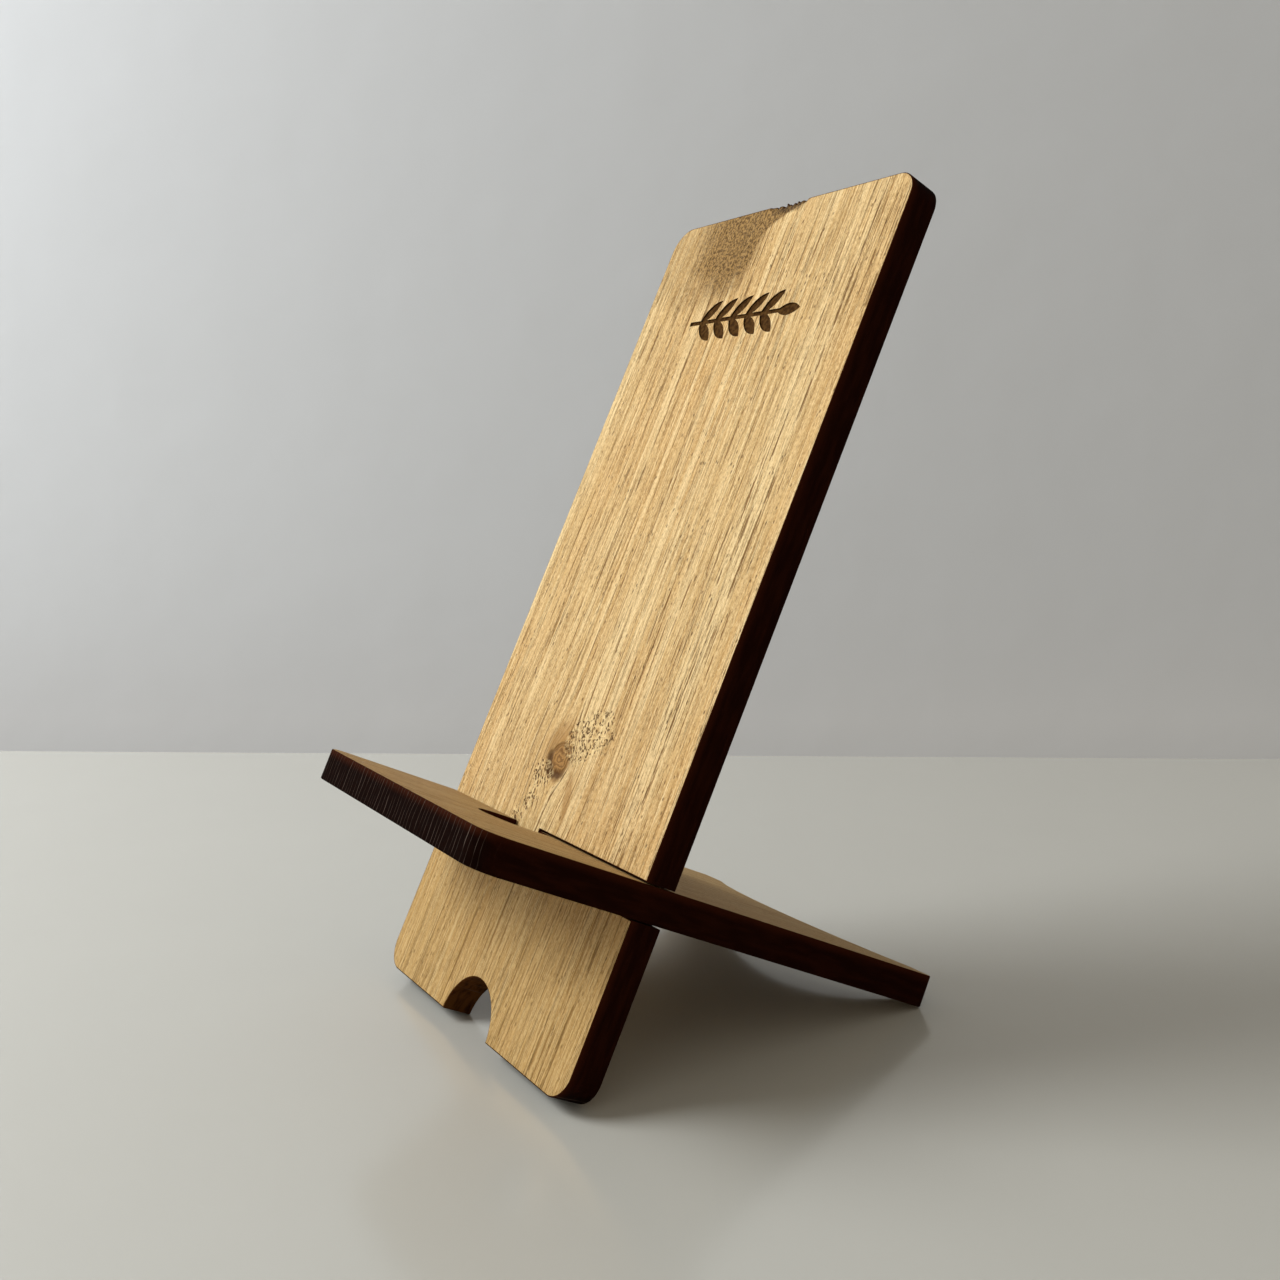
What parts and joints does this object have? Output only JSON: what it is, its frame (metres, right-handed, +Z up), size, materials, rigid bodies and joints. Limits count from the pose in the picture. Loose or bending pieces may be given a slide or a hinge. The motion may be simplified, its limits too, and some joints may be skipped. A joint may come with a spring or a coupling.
{
  "type": "phone stand",
  "caption": "Flat-pack wooden phone stand: a leaning back board and a cross board with a ledge, joined by half-lap slots, with cable openings.",
  "frame": {"origin": "on the table, under the middle of the stand's overall width and depth", "axes": "+Z up; -Y to the front, the side that the phone faces; +X to the right as seen from the front, the way the cross board slides out"},
  "size_m": [0.075, 0.0938, 0.1492],
  "materials": {
    "back_pine": "bare sanded pine, warm yellow tan, with brown-black laser-cut edges",
    "cross_pine": "bare sanded pine, tan, with brown-black laser-cut edges"
  },
  "bodies": {
    "back_board": {"back_board": "back_pine"},
    "cross_board": {"cross_board": "cross_pine"}
  },
  "joints": [
    {"name": "cross_board_slide", "type": "slide", "parent": "back_board", "child": "cross_board", "axis": [1, 0, 0], "range_m": [0, 0.038]}
  ]
}
